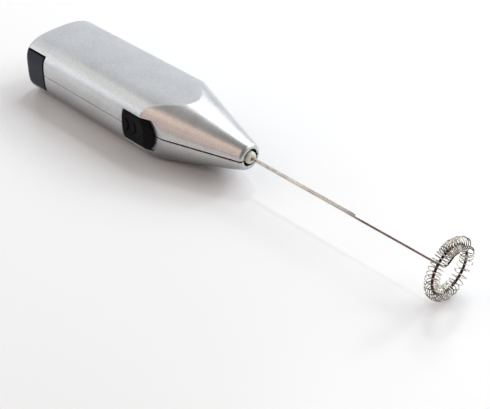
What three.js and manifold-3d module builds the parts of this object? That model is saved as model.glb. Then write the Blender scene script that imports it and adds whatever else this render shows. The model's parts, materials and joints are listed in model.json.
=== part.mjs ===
// Battery milk frother: a two-shell handle with a cut-back cone, a thumb slider in one side,
// a tail cap over two cells, and a small motor that spins a wire whisk on a long shaft.
// Millimetres. +X runs along the shaft from the tail to the whisk, +Z is up.
// The pieces are drawn with the nose tip at X = 0 and the shaft axis at Y = Z = 0, then the
// whole assembly is moved so that the origin is at the bottom centre of its box.

import * as THREE from 'three';
import Module from 'manifold-3d';
import { LoftGeometry } from 'three/addons/geometries/LoftGeometry.js';
import { mergeVertices } from 'three/addons/utils/BufferGeometryUtils.js';

const wasm = await Module();
wasm.setup();

// ---------------------------------------------------------------- driving dimensions

const GAP = 0.3;                    // clearance between neighbouring pieces
const HALF_SEAM = 0.15;             // half of the gap between the two shells
const FAR = 200;                    // reach of a cutting block
const OVERLAP = 0.5;                // by which joined forms run into each other

const BODY_LENGTH = 127;
const BODY_HALF_WIDTH = 19.5;
const BODY_TOP = { height: 12.3, squareness: 3.5 };       // above the seam between the shells
const BODY_BOTTOM = { height: 13.3, squareness: 3.9 };    // below the seam
const TAIL_ROUND = 2.4;
const TAIL_DOME = 1.7;              // how far the tail's middle stands proud of its sides
const TAIL_DOME_INSETS = [11, 8, 5];
const REST_DROP = 13.1;             // flat underside, below the shaft axis
const WALL = 1.7;

const NOSE_RADIUS = 5.5;
const CONE_WIDTH_RISE = 0.322;      // per millimetre back from the nose
const CONE_TOP_RISE = 0.21;
const CONE_BOTTOM_RISE = 0.25;
const CONE_STATIONS = [             // the last ones are hidden inside the handle's prism
  { back: 52, top: 2.35, bottom: 3 },
  { back: 26, top: 2.17, bottom: 3 },
  { back: 6, top: 2.04, bottom: 2.7 },
  { back: 1.2, top: 2, bottom: 2.1 },
];
const NOSE_ROUND = 1.2;
const NOSE_INSET = 1.08;            // how much smaller the rounded nose ends
const NOSE_HOLE_RADIUS = 3.8;
const NOSE_WALL = 3;

const CAP_LENGTH = 15.5;
const CAP_HALF_HEIGHT = 8.5;
const CAP_SEAT = { halfWidth: 16, halfHeight: 7.6 };      // for the tail contact
const CAP_POCKET = { near: 2, far: 14, halfHeight: 5, floor: 5 };
const CAP_TONGUE = { inner: 16.1, outer: 17.2, halfHeight: 4, length: 12 };
const CAVITY_STOP = 0.5;            // from the cap's opening to the shells' hollow
const CAP_OPENING_DEPTH = 2;        // how far the opening for the seat goes into the shells

const RECESS_REAR = -57.4;
const RECESS_TOP = 6.5;
const RECESS_BOTTOM = -7.5;
const RECESS_FLOOR = -16.8;
const RECESS_FLOOR_THICKNESS = 1.5;
const SLIDER_FRONT = -38.6;
const SLIDER_FRONT_RADIUS = 9;
const SLIDER_NECK = { rear: -50, front: -46, halfHeight: 1.3 };
const SLIDER_FOOT = { rear: -52, front: -44, halfHeight: 3.2, inner: -13.6 };
const SLIDER_MARKS = [-52.4, -47.9]; // fronts of the crescents
const MARK_HALF_CHORD = 2.3;
const MARK_RADII = { front: 3.2, rear: 4.3 };
const MARK_DEPTH = 0.55;
const BRIDGE_HALF_HEIGHT = 2.2;
const SWITCH_TRAVEL = 3;

const CELL_RADIUS = 7.25;
const CELL_LENGTH = 50.5;
const CELL_EDGE = 0.6;
const CELL_NUB_LENGTH = 1.2;
const CELL_NUB_RADIUS = 2.75;
const CELL_OFFSET = 7.45;           // each cell's axis from the middle plane
const FRONT_PLATE_X = -57.2;
const TAIL_PLATE_X = -113.3;
const PLATE_THICKNESS = 0.4;
const PLATE_HALF_HEIGHT = 5;
const LEAF_Y = -12.4;               // outer face of the fixed switch contacts
const LEAF_HALF_HEIGHT = 2;
const POSITIVE_LEAF_FRONT = -47.5;
const TERMINAL = { rear: -43.5, front: -36 };
const NEGATIVE_ARM = { outer: 15.6, front: -53.6, halfHeight: 1.5 };
const PLATE_INNER = 1;              // from the middle plane to each front plate
const BULKHEAD = { thickness: 1.2, halfHeight: 8, edge: 14.9 };
const CONTACT_SPRING = { turns: 3.5, wide: 4.5, narrow: 3, wire: 0.3, clear: 0.65 };

const MOTOR_RADIUS = 10;
const MOTOR_HALF_FLAT = 7.5;
const MOTOR_REAR = -50.2;
const MOTOR_FRONT = -29;
const MOTOR_WALL = 0.8;
const MOTOR_SHAFT_RADIUS = 1;
const MOTOR_SHAFT_REAR = -52.2;
const MOTOR_SHAFT_FRONT = -16;
const MOTOR_BOSS = { radius: 3.6, bore: 2.8, length: 1.5 };
const MOTOR_END_THICKNESS = 1.8;
const MOTOR_END_BORE = 1.5;
const MOTOR_BUSH = { back: 0.6, radius: 2.5 };
const MAGNET = { rear: -45, front: -31.5, inner: 7, side: 3, halfHeight: 5.2 };
const CORE = { rear: -43.5, front: -33.5, hub: 2.4, neckHalf: 0.8 };
const SHOE = { inner: 5, outer: 6.3, halfWidth: 4.2 };
const POLE_COUNT = 3;
const WINDING = { overhang: 1.3, inner: 3, outer: 4.1, halfWidth: 2 };
const COMMUTATOR = { rear: -49.4, front: -46, radius: 2.2 };
const BRUSH = { rear: -49.8, front: -47.4, inner: 2.6, outer: 3, halfHeight: 3.5 };
const MOTOR_RIBS = [                // across the shells, each side of the motor's middle
  { rear: -47, right: -12, left: 11 },
  { rear: -34, right: -12, left: 12 },
];
const RIB_THICKNESS = 1.4;
const RIB_HALF_OPENING = 5;

const LEAD_RADIUS = 0.5;
const RED_LEAD_ROUTE = [
  [-38.5, -11.2, 0.5],
  [-41, -11.2, 2.6],
  [-45, -11.2, 4.1],
  [-50, -11.2, 4.1],
  [-53, -10, 4],
  [-54, -7, 3.5],
  [-53.5, -4.5, 2],
];
const BLACK_LEAD_ROUTE = [
  [-53.2, 14.4, 0],
  [-53.9, 12, 1.5],
  [-54, 9, 2.5],
  [-53.5, 5.5, 2],
];

const COUPLING_RADIUS = 2.7;
const COUPLING_REAR = -24;
const COUPLING_FRONT = 1.2;
const COUPLING_NOSE = [{ back: 1, inset: 0 }, { back: 0.3, inset: 0.4 }, { back: 0, inset: 1.1 }];
const COUPLING_WEB = { front: -9.8, radius: 2 };         // between its two bores

const WIRE_RADIUS = 0.48;
const SPOKE_X = 97.2;               // the wire turns out from the axis here
const SPOKE_ANGLE = 32;             // degrees from +Y towards +Z
const BEND = 2;
const SPOKE_BEND = 5.6;             // from the axis, where the spoke starts to turn
const SHORT_LEG_STATIONS = [40, 24, 10, -2];
const LONG_LEG_STATIONS = [-2, 10, 24, 38, 52, 66, 80, 90];
const LEG_OFFSET = 0.52;            // each leg of the hairpin from the shaft axis
const HAIRPIN_X = -8;
const SHORT_LEG_END = 55;
const RING_X = 99;
const RING_RADIUS = 9.8;
const RING_START_ANGLE = 14;        // on from the spoke
const RING_SWEEP = 328;
const COIL_RING_RADIUS = 9.95;
const COIL_RADIUS = 2.7;
const COIL_WIRE_RADIUS = 0.25;
const COIL_GAP_ANGLE = 13;          // each side of the spoke, where the ring is bare
const COIL_PITCH = 2.0;             // along the ring, from one turn to the next
const COIL_BUNCHES = [              // ring angle, spread in degrees, and how much closer
  { angle: 95, spread: 48, closer: 1.1 },
  { angle: 255, spread: 34, closer: 0.65 },
  { angle: 340, spread: 36, closer: -0.8 },
];

const SCREWS = [
  { x: -46, y: 14.2 },
  { x: -20.5, y: 6.6 },
  { x: -20.5, y: -6.6 },
];
const SCREW_RADIUS = 1.0;
const SCREW_HEAD_RADIUS = 1.9;
const SCREW_HEAD_DEPTH = 1.2;
const SCREW_HEAD_TOP = -5.2;        // the heads sit deep in their counterbores
const SCREW_TIP = 5;
const BOSS_RADIUS = 2.6;

// ---------------------------------------------------------------- helpers

const DEGREE = Math.PI / 180;
const ALONG_X = new THREE.Matrix4().makeRotationZ(-Math.PI / 2);
const ACROSS_Z = new THREE.Matrix4().makeRotationX(Math.PI / 2);

// A closed geometry as a manifold solid.
function solid(geometry) {
  const plain = geometry.index ? geometry.toNonIndexed() : geometry.clone();
  plain.deleteAttribute('normal');
  plain.deleteAttribute('uv');
  const merged = mergeVertices(plain, 1e-4);
  return new wasm.Manifold(new wasm.Mesh({
    numProp: 3,
    vertProperties: new Float32Array(merged.attributes.position.array),
    triVerts: new Uint32Array(merged.index.array),
  }));
}

// A manifold solid back as a three.js geometry.
function geometryOf(body) {
  const mesh = body.getMesh();
  const geometry = new THREE.BufferGeometry();
  geometry.setAttribute('position', new THREE.BufferAttribute(mesh.vertProperties, 3));
  geometry.setIndex(new THREE.BufferAttribute(mesh.triVerts, 1));
  geometry.computeVertexNormals();
  return geometry;
}

// A block between two corners.
function block(low, high) {
  const box = new THREE.BoxGeometry(high[0] - low[0], high[1] - low[1], high[2] - low[2]);
  box.translate((low[0] + high[0]) / 2, (low[1] + high[1]) / 2, (low[2] + high[2]) / 2);
  return box;
}

function blockSolid(low, high) {
  return solid(block(low, high));
}

// A body turned about the X axis, from a profile of [x, radius] pairs.
function turned(profile, sides = 32, y = 0, z = 0) {
  const points = profile.map(([x, radius]) => new THREE.Vector2(radius, x));
  const lathe = new THREE.LatheGeometry(points, sides);
  lathe.applyMatrix4(ALONG_X);
  lathe.translate(0, y, z);
  return lathe;
}

// A plain round bar along X.
function bar(x0, x1, radius, sides = 32, y = 0, z = 0) {
  return turned([[x0, 0], [x0, radius], [x1, radius], [x1, 0]], sides, y, z);
}

// A washer or sleeve along X.
function sleeve(x0, x1, inner, outer, sides = 32, y = 0, z = 0) {
  return turned([[x0, inner], [x0, outer], [x1, outer], [x1, inner], [x0, inner]], sides, y, z);
}

// A round post along Z.
function post(x, y, z0, z1, radius, sides = 20) {
  const cylinder = new THREE.CylinderGeometry(radius, radius, z1 - z0, sides);
  cylinder.applyMatrix4(ACROSS_Z);
  cylinder.translate(x, y, (z0 + z1) / 2);
  return cylinder;
}

function power(value, exponent) {
  return Math.sign(value) * Math.abs(value) ** exponent;
}

// A superellipse section across X. Its top and bottom halves may differ, and with a bow its
// sides run forward of its middle.
function section(x, halfWidth, top, bottom, inset = 0, bow = 0, count = 64) {
  const points = [];
  for (let i = 0; i < count; i += 1) {
    const angle = i / count * 2 * Math.PI;
    const half = i <= count / 2 ? top : bottom;
    const y = (halfWidth - inset) * power(Math.cos(angle), 2 / half.squareness);
    const z = (half.height - inset) * power(Math.sin(angle), 2 / half.squareness);
    points.push(new THREE.Vector3(x + bow * (y / halfWidth) ** 2, y, z));
  }
  return points;
}

function loft(sections) {
  return solid(new LoftGeometry(sections, { capStart: true, capEnd: true }));
}

// A curve that is stepped at its own stations: few on straight runs, many in the bends.
class StationPath extends THREE.Curve {
  constructor(stations) {
    super();
    this.stations = stations;
  }

  getPoint(t) {
    const place = t * (this.stations.length - 1);
    const index = Math.min(Math.floor(place), this.stations.length - 2);
    return this.stations[index].clone().lerp(this.stations[index + 1], place - index);
  }

  getSpacedPoints() {
    return this.stations.map((station) => station.clone());
  }

  getTangentAt(u) {
    const index = Math.round(u * (this.stations.length - 1));
    const before = this.stations[Math.max(index - 1, 0)];
    const after = this.stations[Math.min(index + 1, this.stations.length - 1)];
    return after.clone().sub(before).normalize();
  }
}

// A round wire through a list of stations.
function wire(stations, radius, sides) {
  const outline = [];
  for (let i = 0; i < sides; i += 1) {
    const angle = i / sides * 2 * Math.PI;
    outline.push(new THREE.Vector2(radius * Math.cos(angle), radius * Math.sin(angle)));
  }
  return new THREE.ExtrudeGeometry(new THREE.Shape(outline), {
    steps: stations.length - 1,
    extrudePath: new StationPath(stations),
    bevelEnabled: false,
  });
}

function vector(x, y, z) {
  return new THREE.Vector3(x, y, z);
}

const frother = new THREE.Group();
const assembly = new THREE.Group();
frother.add(assembly);

function add(name, geometry, finish) {
  const mesh = new THREE.Mesh(geometry, new THREE.MeshStandardMaterial(finish));
  mesh.name = name;
  assembly.add(mesh);
}

// ---------------------------------------------------------------- finishes

const SILVER_PAINT = { color: 0xb4b5b8, roughness: 0.38, metalness: 0.75 };
const BLACK_PLASTIC = { color: 0x1b1b20, roughness: 0.5, metalness: 0 };
const CREAM_PLASTIC = { color: 0xe6e1d2, roughness: 0.45, metalness: 0 };
const STEEL = { color: 0xa8a49f, roughness: 0.25, metalness: 1 };
const BRASS = { color: 0xc8a04a, roughness: 0.35, metalness: 1 };
const NICKEL = { color: 0xc4c2bb, roughness: 0.3, metalness: 1 };
const CELL_WRAP = { color: 0x2c5f8f, roughness: 0.4, metalness: 0.1 };
const WHITE_PLASTIC = { color: 0xe9e9e6, roughness: 0.5, metalness: 0 };
const FERRITE = { color: 0x37373a, roughness: 0.7, metalness: 0.2 };
const COPPER = { color: 0xb4643c, roughness: 0.35, metalness: 1 };
const RED_LEAD = { color: 0xa81e1e, roughness: 0.5, metalness: 0 };
const BLACK_LEAD = { color: 0x151515, roughness: 0.5, metalness: 0 };

// ---------------------------------------------------------------- handle shells

// The straight part of the handle. The outer skin's tail is domed, with a rounded edge.
function prismForm(wall) {
  const tailSection = (forward, inset) => section(
    -BODY_LENGTH + forward,
    BODY_HALF_WIDTH,
    BODY_TOP,
    BODY_BOTTOM,
    inset,
    wall > 0 ? 0 : TAIL_DOME,
  );
  const sections = [];
  if (wall > 0) {
    sections.push(tailSection(wall, wall));
  } else {
    TAIL_DOME_INSETS.forEach((inset) => sections.push(tailSection(0, inset)));
    for (const share of [0, 1 / 3, 2 / 3, 1]) {
      const angle = share * Math.PI / 2;
      const forward = TAIL_ROUND * (1 - Math.cos(angle));
      sections.push(tailSection(forward, TAIL_ROUND * (1 - Math.sin(angle))));
    }
  }
  sections.push(section(1, BODY_HALF_WIDTH, BODY_TOP, BODY_BOTTOM, wall));
  return loft(sections);
}

function coneSection({ back, top, bottom }, wall) {
  return section(
    -back,
    NOSE_RADIUS + CONE_WIDTH_RISE * back,
    { height: NOSE_RADIUS + CONE_TOP_RISE * back, squareness: top },
    { height: NOSE_RADIUS + CONE_BOTTOM_RISE * back, squareness: bottom },
    wall,
  );
}

// The long cone that sharpens the handle, carried on past the tail, with a rounded nose.
function coneForm(wall) {
  const tail = { ...CONE_STATIONS[0], back: BODY_LENGTH + 5 };
  const sections = [tail, ...CONE_STATIONS].map((station) => coneSection(station, wall));
  const tip = { back: 0, top: 2, bottom: 2 };
  if (wall > 0) {
    sections.pop();
    sections.push(coneSection({ ...tip, back: NOSE_WALL }, wall));
  } else {
    for (const share of [1 / 2, 1]) {
      const angle = share * Math.PI / 2;
      const back = NOSE_ROUND * (1 - Math.sin(angle));
      sections.push(coneSection({ ...tip, back }, NOSE_INSET * (1 - Math.cos(angle))));
    }
  }
  return loft(sections);
}

// The outer skin of the handle, or its cavity when a wall thickness is given.
function handleForm(wall) {
  return prismForm(wall).intersect(coneForm(wall));
}

const outerForm = handleForm(0);
const recessBack = RECESS_FLOOR + RECESS_FLOOR_THICKNESS;

// The hollow inside both shells, kept away from the slider's recess.
function cavityForm() {
  return handleForm(WALL)
    .subtract(blockSolid(
      [RECESS_REAR - WALL, -FAR, RECESS_BOTTOM - WALL],
      [0, recessBack, RECESS_TOP + WALL],
    ))
    .subtract(blockSolid([-FAR, -FAR, -FAR], [-BODY_LENGTH + CAP_LENGTH + CAVITY_STOP, FAR, FAR]));
}

// Everything cut out of the skin: nose hole, recess, neck slot, tail opening, flat underside.
function shellCuts() {
  const capFront = -BODY_LENGTH + CAP_LENGTH;
  const opening = CAP_HALF_HEIGHT + GAP;
  const innerWidth = BODY_HALF_WIDTH - WALL;
  return solid(bar(-NOSE_WALL - 2, 5, NOSE_HOLE_RADIUS, 40))
    .add(blockSolid([RECESS_REAR, -FAR, RECESS_BOTTOM], [10, RECESS_FLOOR, RECESS_TOP]))
    .add(blockSolid(
      [SLIDER_NECK.rear - OVERLAP, RECESS_FLOOR - 1, -SLIDER_NECK.halfHeight - GAP],
      [SLIDER_NECK.front + SWITCH_TRAVEL + OVERLAP, recessBack + 1, SLIDER_NECK.halfHeight + GAP],
    ))
    .add(blockSolid([-FAR, -FAR, -opening], [capFront, FAR, opening]))
    .add(blockSolid(
      [-FAR, -innerWidth, -CAP_SEAT.halfHeight],
      [capFront + CAP_OPENING_DEPTH, innerWidth, CAP_SEAT.halfHeight],
    ))
    .add(blockSolid([-FAR, -FAR, -FAR], [FAR, FAR, -REST_DROP]));
}

// Screw bosses, trimmed to the inside of the skin.
function bosses(low, high) {
  return SCREWS
    .map(({ x, y }) => solid(post(x, y, low, high, BOSS_RADIUS)))
    .reduce((sum, boss) => sum.add(boss))
    .intersect(outerForm);
}

// Ribs across the shells that locate the motor.
function motorRibs() {
  const clearMotor = blockSolid(
    [-FAR, -MOTOR_RADIUS - 1, -MOTOR_HALF_FLAT - GAP],
    [FAR, MOTOR_RADIUS + 1, MOTOR_HALF_FLAT + GAP],
  );
  const clearSides = blockSolid([-FAR, -FAR, -RIB_HALF_OPENING], [FAR, FAR, RIB_HALF_OPENING]);
  return MOTOR_RIBS
    .map(({ rear, right, left }) => blockSolid(
      [rear, right, -FAR],
      [rear + RIB_THICKNESS, left, FAR],
    ))
    .reduce((sum, rib) => sum.add(rib))
    .subtract(clearMotor)
    .subtract(clearSides)
    .intersect(outerForm);
}

const skin = outerForm.subtract(cavityForm()).add(motorRibs()).subtract(shellCuts());

function screwHoles(radius, low, high) {
  return SCREWS
    .map(({ x, y }) => solid(post(x, y, low, high, radius)))
    .reduce((sum, hole) => sum.add(hole));
}

function upperShell() {
  return skin
    .intersect(blockSolid([-FAR, -FAR, HALF_SEAM], [FAR, FAR, FAR]))
    .add(bosses(HALF_SEAM, BODY_TOP.height))
    .subtract(screwHoles(SCREW_RADIUS + GAP, -1, SCREW_TIP + 0.4));
}

function lowerShell() {
  return skin
    .intersect(blockSolid([-FAR, -FAR, -FAR], [FAR, FAR, -HALF_SEAM]))
    .add(bosses(-REST_DROP, -HALF_SEAM))
    .subtract(screwHoles(SCREW_RADIUS + GAP, -FAR, 1))
    .subtract(screwHoles(SCREW_HEAD_RADIUS + GAP, -FAR, SCREW_HEAD_TOP + GAP));
}

add('upper_shell', geometryOf(upperShell()), SILVER_PAINT);
add('lower_shell', geometryOf(lowerShell()), SILVER_PAINT);

SCREWS.forEach(({ x, y }, index) => {
  const low = SCREW_HEAD_TOP - SCREW_HEAD_DEPTH;
  const head = solid(post(x, y, low, SCREW_HEAD_TOP, SCREW_HEAD_RADIUS));
  const shank = solid(post(x, y, SCREW_HEAD_TOP - 0.2, SCREW_TIP, SCREW_RADIUS, 12));
  const long = 1.2;
  const wide = 0.35;
  const driveAlong = blockSolid([x - long, y - wide, low - 1], [x + long, y + wide, low + 0.6]);
  const driveAcross = blockSolid([x - wide, y - long, low - 1], [x + wide, y + long, low + 0.6]);
  const screw = head.add(shank).subtract(driveAlong).subtract(driveAcross);
  add(`housing_screw_${index + 1}`, geometryOf(screw), STEEL);
});

// ---------------------------------------------------------------- tail cap and cells

// A block on one side of the middle plane, between two distances from it.
function sideBlock(side, x0, x1, inner, outer, halfHeight) {
  const near = Math.min(side * inner, side * outer);
  const far = Math.max(side * inner, side * outer);
  return blockSolid([x0, near, -halfHeight], [x1, far, halfHeight]);
}

// The cap is the end of the skin. It has a seat for the contact, a pocket behind each cell and
// a tongue at each side that slips into the shells.
function tailCap() {
  const front = -BODY_LENGTH + CAP_LENGTH - GAP;
  const seatRear = TAIL_PLATE_X - PLATE_THICKNESS - GAP;
  let cap = outerForm
    .intersect(blockSolid([-FAR, -FAR, -CAP_HALF_HEIGHT], [front, FAR, CAP_HALF_HEIGHT]))
    .subtract(blockSolid(
      [seatRear, -CAP_SEAT.halfWidth, -CAP_SEAT.halfHeight],
      [0, CAP_SEAT.halfWidth, CAP_SEAT.halfHeight],
    ));
  for (const side of [-1, 1]) {
    const { near, far, halfHeight, floor } = CAP_POCKET;
    const { inner, outer, length } = CAP_TONGUE;
    cap = cap
      .subtract(sideBlock(side, -BODY_LENGTH + floor, 0, near, far, halfHeight))
      .add(sideBlock(side, front - 1, front - 1 + length, inner, outer, CAP_TONGUE.halfHeight));
  }
  return cap;
}

add('tail_cap', geometryOf(tailCap()), BLACK_PLASTIC);
add('tail_contact', block(
  [TAIL_PLATE_X - PLATE_THICKNESS, -CAP_POCKET.far, -PLATE_HALF_HEIGHT],
  [TAIL_PLATE_X, CAP_POCKET.far, PLATE_HALF_HEIGHT],
), NICKEL);

// A cone-shaped contact spring from a plate, with its wide end, to a cell.
function contactSpring(plateX, cellX, y) {
  const { turns, wide, narrow, clear } = CONTACT_SPRING;
  const steps = 12 * turns;
  const toward = Math.sign(cellX - plateX);
  const start = plateX + toward * clear;
  const reach = cellX - toward * clear - start;
  const stations = [];
  for (let i = 0; i <= steps; i += 1) {
    const share = i / steps;
    const radius = wide + (narrow - wide) * share;
    const angle = share * turns * 2 * Math.PI;
    stations.push(vector(
      start + reach * share,
      y + radius * Math.cos(angle),
      radius * Math.sin(angle),
    ));
  }
  return wire(stations, CONTACT_SPRING.wire, 6);
}

// An AA cell: plain can with its nub at one end. toward is +1 where the nub faces the whisk.
function cell(nubX, y, toward) {
  const shoulder = nubX - toward * CELL_NUB_LENGTH;
  const base = nubX - toward * CELL_LENGTH;
  const profile = [
    [base, 0],
    [base, CELL_RADIUS - CELL_EDGE],
    [base + toward * CELL_EDGE, CELL_RADIUS],
    [shoulder - toward * CELL_EDGE, CELL_RADIUS],
    [shoulder, CELL_RADIUS - CELL_EDGE],
    [shoulder, CELL_NUB_RADIUS],
    [nubX, CELL_NUB_RADIUS],
    [nubX, 0],
  ];
  return turned(toward > 0 ? profile : profile.reverse(), 36, y);
}

const cellOneNub = FRONT_PLATE_X - GAP;
const cellTwoNub = TAIL_PLATE_X + GAP;
add('battery_1', cell(cellOneNub, -CELL_OFFSET, 1), CELL_WRAP);
add('battery_2', cell(cellTwoNub, CELL_OFFSET, -1), CELL_WRAP);
add('tail_spring', contactSpring(
  TAIL_PLATE_X,
  cellOneNub - CELL_LENGTH,
  -CELL_OFFSET,
), NICKEL);
add('front_spring', contactSpring(
  FRONT_PLATE_X,
  cellTwoNub + CELL_LENGTH,
  CELL_OFFSET,
), NICKEL);

// ---------------------------------------------------------------- front contacts and switch

const plateFront = FRONT_PLATE_X + PLATE_THICKNESS;
const leafInner = LEAF_Y + PLATE_THICKNESS;

// A strip of the fixed switch contacts, along the slider's side.
function leaf(rear, front) {
  return block([rear, LEAF_Y, -LEAF_HALF_HEIGHT], [front, leafInner, LEAF_HALF_HEIGHT]);
}

// The plate at one cell, and the leaf that the switch closes on.
function frontContactPositive() {
  return solid(leaf(FRONT_PLATE_X, POSITIVE_LEAF_FRONT)).add(blockSolid(
    [FRONT_PLATE_X, LEAF_Y, -PLATE_HALF_HEIGHT],
    [plateFront, -PLATE_INNER, PLATE_HALF_HEIGHT],
  ));
}

// The plate at the other cell, and a tab for the lead.
function frontContactNegative() {
  const { outer, front, halfHeight } = NEGATIVE_ARM;
  const plate = blockSolid(
    [FRONT_PLATE_X, PLATE_INNER, -PLATE_HALF_HEIGHT],
    [plateFront, outer, PLATE_HALF_HEIGHT],
  );
  return plate.add(blockSolid(
    [FRONT_PLATE_X, outer - PLATE_THICKNESS, -halfHeight],
    [front, outer, halfHeight],
  ));
}

add('front_contact_positive', geometryOf(frontContactPositive()), BRASS);
add('front_contact_negative', geometryOf(frontContactNegative()), BRASS);
add('contact_bulkhead', block(
  [plateFront + GAP, leafInner + GAP, -BULKHEAD.halfHeight],
  [plateFront + GAP + BULKHEAD.thickness, BULKHEAD.edge, BULKHEAD.halfHeight],
), WHITE_PLASTIC);
add('switch_terminal', leaf(TERMINAL.rear, TERMINAL.front), BRASS);

// The thumb piece follows the handle's skin outside, with two crescent marks in its face, a
// neck through the slot and a foot that holds it inside.
function switchSlider() {
  const outside = RECESS_FLOOR - GAP;
  const middle = (RECESS_TOP + RECESS_BOTTOM) / 2;
  const roundCentre = SLIDER_FRONT - SLIDER_FRONT_RADIUS;
  const frontRound = new THREE.CylinderGeometry(SLIDER_FRONT_RADIUS, SLIDER_FRONT_RADIUS, 20, 64);
  frontRound.translate(roundCentre, RECESS_FLOOR, middle);
  const behind = blockSolid([-FAR, -FAR, -FAR], [roundCentre, FAR, FAR]);
  const thumb = outerForm
    .intersect(blockSolid(
      [RECESS_REAR + GAP, -FAR, RECESS_BOTTOM + GAP],
      [SLIDER_FRONT, outside, RECESS_TOP - GAP],
    ))
    .intersect(solid(frontRound).add(behind));
  const neck = blockSolid(
    [SLIDER_NECK.rear, outside - OVERLAP, -SLIDER_NECK.halfHeight],
    [SLIDER_NECK.front, SLIDER_FOOT.inner - OVERLAP, SLIDER_NECK.halfHeight],
  );
  const foot = blockSolid(
    [SLIDER_FOOT.rear, recessBack + GAP, -SLIDER_FOOT.halfHeight],
    [SLIDER_FOOT.front, SLIDER_FOOT.inner, SLIDER_FOOT.halfHeight],
  );
  return SLIDER_MARKS
    .reduce((body, x) => body.subtract(crescent(x)), thumb)
    .add(neck)
    .add(foot);
}

// A crescent groove in the thumb piece, bowed towards the nose.
function crescent(x) {
  const outline = new THREE.Shape();
  const centres = {};
  for (const side of ['front', 'rear']) {
    const radius = MARK_RADII[side];
    const reach = Math.asin(MARK_HALF_CHORD / radius);
    const from = side === 'front' ? -reach : reach;
    centres[side] = -radius * Math.cos(reach);
    outline.absarc(centres[side], 0, radius, from, -from, side === 'rear');
  }
  const groove = new THREE.ExtrudeGeometry(outline, {
    depth: 5,
    bevelEnabled: false,
    curveSegments: 10,
  });
  groove.rotateX(Math.PI / 2);
  groove.translate(x - MARK_RADII.front - centres.front, MARK_DEPTH - BODY_HALF_WIDTH, 0);
  return solid(groove);
}

add('switch_slider', geometryOf(switchSlider()), BLACK_PLASTIC);
add('switch_bridge', block(
  [SLIDER_FOOT.rear, SLIDER_FOOT.inner + GAP, -BRIDGE_HALF_HEIGHT],
  [SLIDER_FOOT.front - 1, SLIDER_FOOT.inner + GAP + PLATE_THICKNESS, BRIDGE_HALF_HEIGHT],
), COPPER);

// ---------------------------------------------------------------- motor

// The motor's can: round with two flats, as every part of its section is.
function flatSided(geometry, halfFlat) {
  return solid(geometry).intersect(blockSolid([-FAR, -FAR, -halfFlat], [FAR, FAR, halfFlat]));
}

function motorCan() {
  const shell = flatSided(bar(MOTOR_REAR, MOTOR_FRONT, MOTOR_RADIUS, 48), MOTOR_HALF_FLAT);
  const hollow = flatSided(
    bar(MOTOR_REAR - 1, MOTOR_FRONT - MOTOR_WALL, MOTOR_RADIUS - MOTOR_WALL, 48),
    MOTOR_HALF_FLAT - MOTOR_WALL,
  );
  const { radius, bore, length } = MOTOR_BOSS;
  const boss = solid(bar(MOTOR_FRONT - OVERLAP, MOTOR_FRONT + length, radius));
  const hole = solid(bar(MOTOR_FRONT - 2 * MOTOR_WALL, MOTOR_FRONT + 2 * length, bore));
  return shell.subtract(hollow).add(boss).subtract(hole);
}

add('motor_can', geometryOf(motorCan()), NICKEL);
add('motor_end_cap', geometryOf(
  flatSided(
    sleeve(
      MOTOR_REAR - GAP - MOTOR_END_THICKNESS,
      MOTOR_REAR - GAP,
      MOTOR_END_BORE,
      MOTOR_RADIUS,
      48,
    ),
    MOTOR_HALF_FLAT,
  ),
), WHITE_PLASTIC);
add('motor_bush', sleeve(
  MOTOR_FRONT - MOTOR_BUSH.back,
  MOTOR_FRONT + MOTOR_BOSS.length,
  MOTOR_SHAFT_RADIUS + GAP,
  MOTOR_BUSH.radius,
), BRASS);
add('motor_shaft', bar(MOTOR_SHAFT_REAR, MOTOR_SHAFT_FRONT, MOTOR_SHAFT_RADIUS, 24), STEEL);

['left', 'right'].forEach((side, index) => {
  const sign = index === 0 ? 1 : -1;
  const outer = MOTOR_RADIUS - MOTOR_WALL - GAP;
  const ring = solid(sleeve(MAGNET.rear, MAGNET.front, MAGNET.inner, outer, 48));
  const sector = sideBlock(sign, -FAR, FAR, MAGNET.side, FAR, MAGNET.halfHeight);
  add(`magnet_${side}`, geometryOf(ring.intersect(sector)), FERRITE);
});

// Laminated three-pole core: a hub, and for each pole a neck with a curved shoe.
function armatureCore() {
  const { rear, front, hub, neckHalf } = CORE;
  let core = solid(bar(rear, front, hub));
  const shoeRing = solid(sleeve(rear, front, SHOE.inner, SHOE.outer, 48));
  for (let pole = 0; pole < POLE_COUNT; pole += 1) {
    const turn = pole * 360 / POLE_COUNT;
    const neck = blockSolid([rear, 0, -neckHalf], [front, SHOE.inner + OVERLAP, neckHalf]);
    const wedge = blockSolid([rear, hub, -SHOE.halfWidth], [front, FAR, SHOE.halfWidth]);
    core = core.add(neck.rotate([turn, 0, 0]));
    core = core.add(shoeRing.intersect(wedge.rotate([turn, 0, 0])));
  }
  return core.subtract(solid(bar(rear - 1, front + 1, MOTOR_SHAFT_RADIUS + GAP, 24)));
}

add('armature_core', geometryOf(armatureCore()), NICKEL);

// One winding: a frame of copper wire round a pole's neck.
function winding(pole) {
  const { overhang, inner, outer, halfWidth } = WINDING;
  const window = CORE.neckHalf + GAP;
  return blockSolid([CORE.rear - overhang, inner, -halfWidth], [CORE.front + overhang, outer, halfWidth])
    .subtract(blockSolid([CORE.rear - GAP, 0, -window], [CORE.front + GAP, FAR, window]))
    .rotate([pole * 360 / POLE_COUNT, 0, 0]);
}

for (let pole = 0; pole < POLE_COUNT; pole += 1) {
  add(`armature_winding_${pole + 1}`, geometryOf(winding(pole)), COPPER);
}

add('commutator', sleeve(
  COMMUTATOR.rear,
  COMMUTATOR.front,
  MOTOR_SHAFT_RADIUS + GAP,
  COMMUTATOR.radius,
  24,
), COPPER);
['left', 'right'].forEach((side, index) => {
  const sign = index === 0 ? 1 : -1;
  const strip = sideBlock(sign, BRUSH.rear, BRUSH.front, BRUSH.inner, BRUSH.outer, BRUSH.halfHeight);
  add(`brush_${side}`, geometryOf(strip), BRASS);
});

// ---------------------------------------------------------------- leads

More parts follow.
